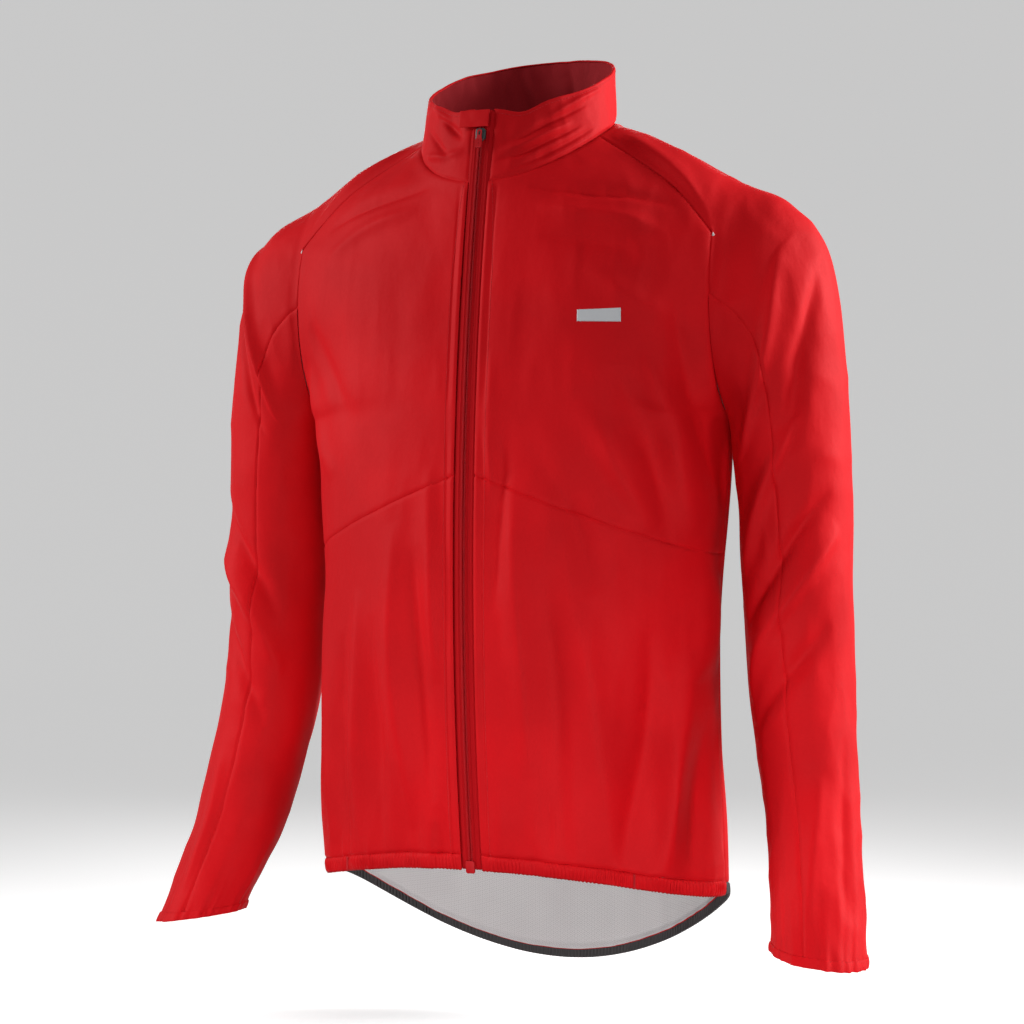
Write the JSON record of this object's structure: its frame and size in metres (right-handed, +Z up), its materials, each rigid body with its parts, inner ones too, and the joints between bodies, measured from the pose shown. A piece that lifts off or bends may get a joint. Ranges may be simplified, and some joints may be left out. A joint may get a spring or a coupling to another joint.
{
  "type": "shell jacket",
  "caption": "Light waterproof shell jacket with raglan sleeves, stand-up collar, full front zip and a drop tail with a gripper hem, shaped as if worn.",
  "frame": {"origin": "on the body's upright axis, level with the neck seam at the shoulders, where the wearer's neck passes and the shoulders carry the jacket", "axes": "+Z up, -Y the way the wearer faces, +X the wearer's left"},
  "size_m": [0.678, 0.2313, 0.8362],
  "materials": {
    "shell_cloth": "smooth matt laminate, crimson red outside, pale grey inside",
    "collar_lining": "matt red cloth",
    "zip_tape": "fine woven tape with a coated coil",
    "loop_tape": "narrow woven tape",
    "gripper": "matt charcoal elastic with a rubbery face",
    "slider_metal": "dark grey-green lacquer",
    "pull_plastic": "moulded dark plastic",
    "reflective_print": "silver-grey reflective print"
  },
  "bodies": {
    "jacket_body": {"back_panel": "shell_cloth", "tail_gripper": "gripper", "collar_shell": "shell_cloth", "collar_lining": "collar_lining", "wind_flap": "zip_tape", "zip_garage": "shell_cloth", "zip_bottom_box": "zip_tape", "chest_reflector": "reflective_print", "front_lower_left": "shell_cloth", "front_upper_left": "shell_cloth", "hem_band_left": "shell_cloth", "raglan_cap_left": "shell_cloth", "zip_half_left": "zip_tape", "hem_bar_tack_left": "zip_tape", "front_lower_right": "shell_cloth", "front_upper_right": "shell_cloth", "hem_band_right": "shell_cloth", "raglan_cap_right": "shell_cloth", "zip_half_right": "zip_tape", "hem_bar_tack_right": "zip_tape"},
    "zip_slider": {"zip_slider": "slider_metal"},
    "pull_tab": {"pull_tab": "pull_plastic"},
    "hanger_loop": {"hanger_loop": "loop_tape"},
    "sleeve_left": {"sleeve_top_left": "shell_cloth", "sleeve_under_left": "shell_cloth", "cuff_left": "shell_cloth"},
    "sleeve_right": {"sleeve_top_right": "shell_cloth", "sleeve_under_right": "shell_cloth", "cuff_right": "shell_cloth"}
  },
  "joints": [
    {"name": "zip_run", "type": "hinge", "parent": "jacket_body", "child": "zip_slider", "pos_m": [0, 1.795, -0.38], "axis": [1, 0, 0], "range_deg": [0, 18.84]},
    {"name": "pull_swing", "type": "hinge", "parent": "zip_slider", "child": "pull_tab", "pos_m": [0, -0.07591, 0.00294], "axis": [-1, 0, 0], "range_deg": [0, 150]},
    {"name": "loop_flip", "type": "hinge", "parent": "jacket_body", "child": "hanger_loop", "pos_m": [0, 0.08493, 0.031], "axis": [-1, 0, 0], "range_deg": [0, 170]},
    {"name": "shoulder_swing_left", "type": "hinge", "parent": "jacket_body", "child": "sleeve_left", "pos_m": [0.2, 0.0199, -0.1435], "axis": [-1, 0, 0], "range_deg": [-25, 75]},
    {"name": "shoulder_swing_right", "type": "hinge", "parent": "jacket_body", "child": "sleeve_right", "pos_m": [-0.2, 0.0199, -0.1435], "axis": [-1, 0, 0], "range_deg": [-25, 75]}
  ]
}
